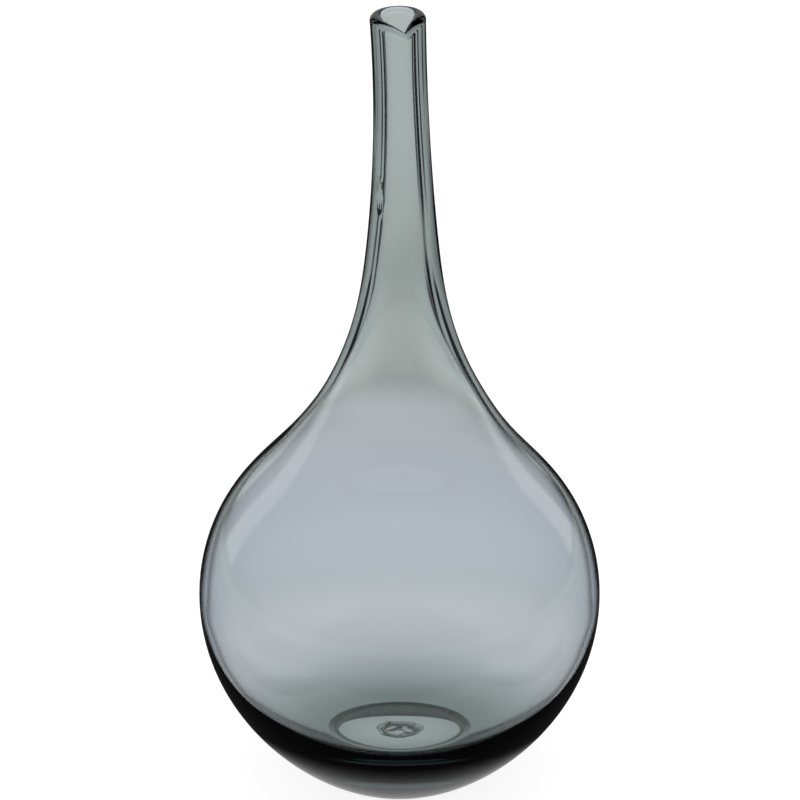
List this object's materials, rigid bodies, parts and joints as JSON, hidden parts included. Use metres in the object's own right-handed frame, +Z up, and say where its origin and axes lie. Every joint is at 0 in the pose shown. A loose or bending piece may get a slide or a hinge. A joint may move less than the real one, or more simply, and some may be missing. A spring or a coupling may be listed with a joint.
{
  "type": "bottle vase",
  "caption": "Hand-blown smoke glass bottle vase: a round bulb drawn up into a long narrow neck with a pinched pouring lip, standing on a narrow foot ring",
  "frame": {"origin": "centre of the foot ring, on the plane the vase rests on", "axes": "+Z up along the neck, -Y out of the dipped front of the lip (the side that faces the viewer), +X to the viewer's right"},
  "size_m": [0.154, 0.154, 0.3015],
  "materials": {
    "smoke_glass": "fire-polished, clear, tinted smoke grey through the whole wall",
    "broken_glass": "rough break where the iron was taken off"
  },
  "bodies": {
    "root": {"glass_vessel": "smoke_glass", "pontil_mark": "broken_glass"}
  },
  "joints": []
}
